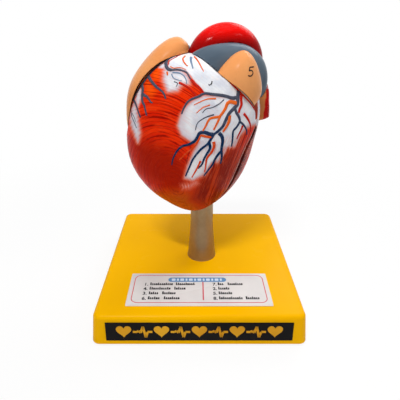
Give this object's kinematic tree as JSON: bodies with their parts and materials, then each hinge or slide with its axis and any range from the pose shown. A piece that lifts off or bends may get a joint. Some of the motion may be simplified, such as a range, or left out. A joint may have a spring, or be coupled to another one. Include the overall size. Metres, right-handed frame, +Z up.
{
  "type": "human heart anatomy model",
  "caption": "Life-size human heart teaching model that opens into two parts, with chambers and valves inside, turning on a column over a square moulded base.",
  "frame": {"origin": "centre of the base at the surface it stands on, under its four feet", "axes": "+Z up along the column; the heart's painted front faces -Y and its aorta is on top"},
  "size_m": [0.151, 0.1556, 0.2039],
  "materials": {
    "base_yellow": "glossy moulded plastic",
    "foot_rubber": "matt",
    "card_white": "satin printed film",
    "plate_black": "satin printed film",
    "column_grey": "satin",
    "steel": "satin",
    "white_nylon": "satin",
    "muscle_red": "hand-painted and lacquered",
    "atrium_peach": "painted and lacquered",
    "artery_red": "painted and lacquered",
    "trunk_grey_blue": "painted and lacquered",
    "vein_red": "painted and lacquered",
    "valve_white": "painted"
  },
  "bodies": {
    "stand": {"base_plinth": "base_yellow", "foot_front_left": "foot_rubber", "foot_front_right": "foot_rubber", "foot_rear_left": "foot_rubber", "foot_rear_right": "foot_rubber", "key_card": "card_white", "name_plate": "plate_black", "support_column": "column_grey", "column_screw": "steel", "column_washer": "steel", "swivel_pin": "steel", "seat_washer": "white_nylon"},
    "heart": {"pivot_bush": "white_nylon", "rear_wall": "muscle_red", "peg_sleeves": "white_nylon", "right_atrium": "atrium_peach", "aorta": "artery_red", "pulmonary_trunk": "trunk_grey_blue", "left_auricle": "atrium_peach", "left_pulmonary_veins": "vein_red", "left_atrium": "atrium_peach", "superior_vena_cava": "trunk_grey_blue", "inferior_vena_cava": "trunk_grey_blue", "right_pulmonary_artery": "trunk_grey_blue", "right_upper_vein": "vein_red", "right_lower_vein": "vein_red", "tricuspid_valve": "valve_white", "mitral_valve": "valve_white", "aortic_valve": "valve_white", "pulmonary_valve": "valve_white", "papillary_right_outer": "muscle_red", "papillary_right_inner": "muscle_red", "papillary_left_inner": "muscle_red", "papillary_left_outer": "muscle_red", "chordae_right": "valve_white", "chordae_left": "valve_white"},
    "front_cover": {"front_wall": "muscle_red", "cover_pegs": "white_nylon"}
  },
  "joints": [
    {"name": "heart_swivel", "type": "hinge", "parent": "stand", "child": "heart", "pos_m": [0.0025, 0.00075, 0.0785], "axis": [0, 0, 1], "continuous": true},
    {"name": "cover_slide", "type": "slide", "parent": "heart", "child": "front_cover", "axis": [0, -1, 0], "range_m": [0, 0.08]}
  ]
}
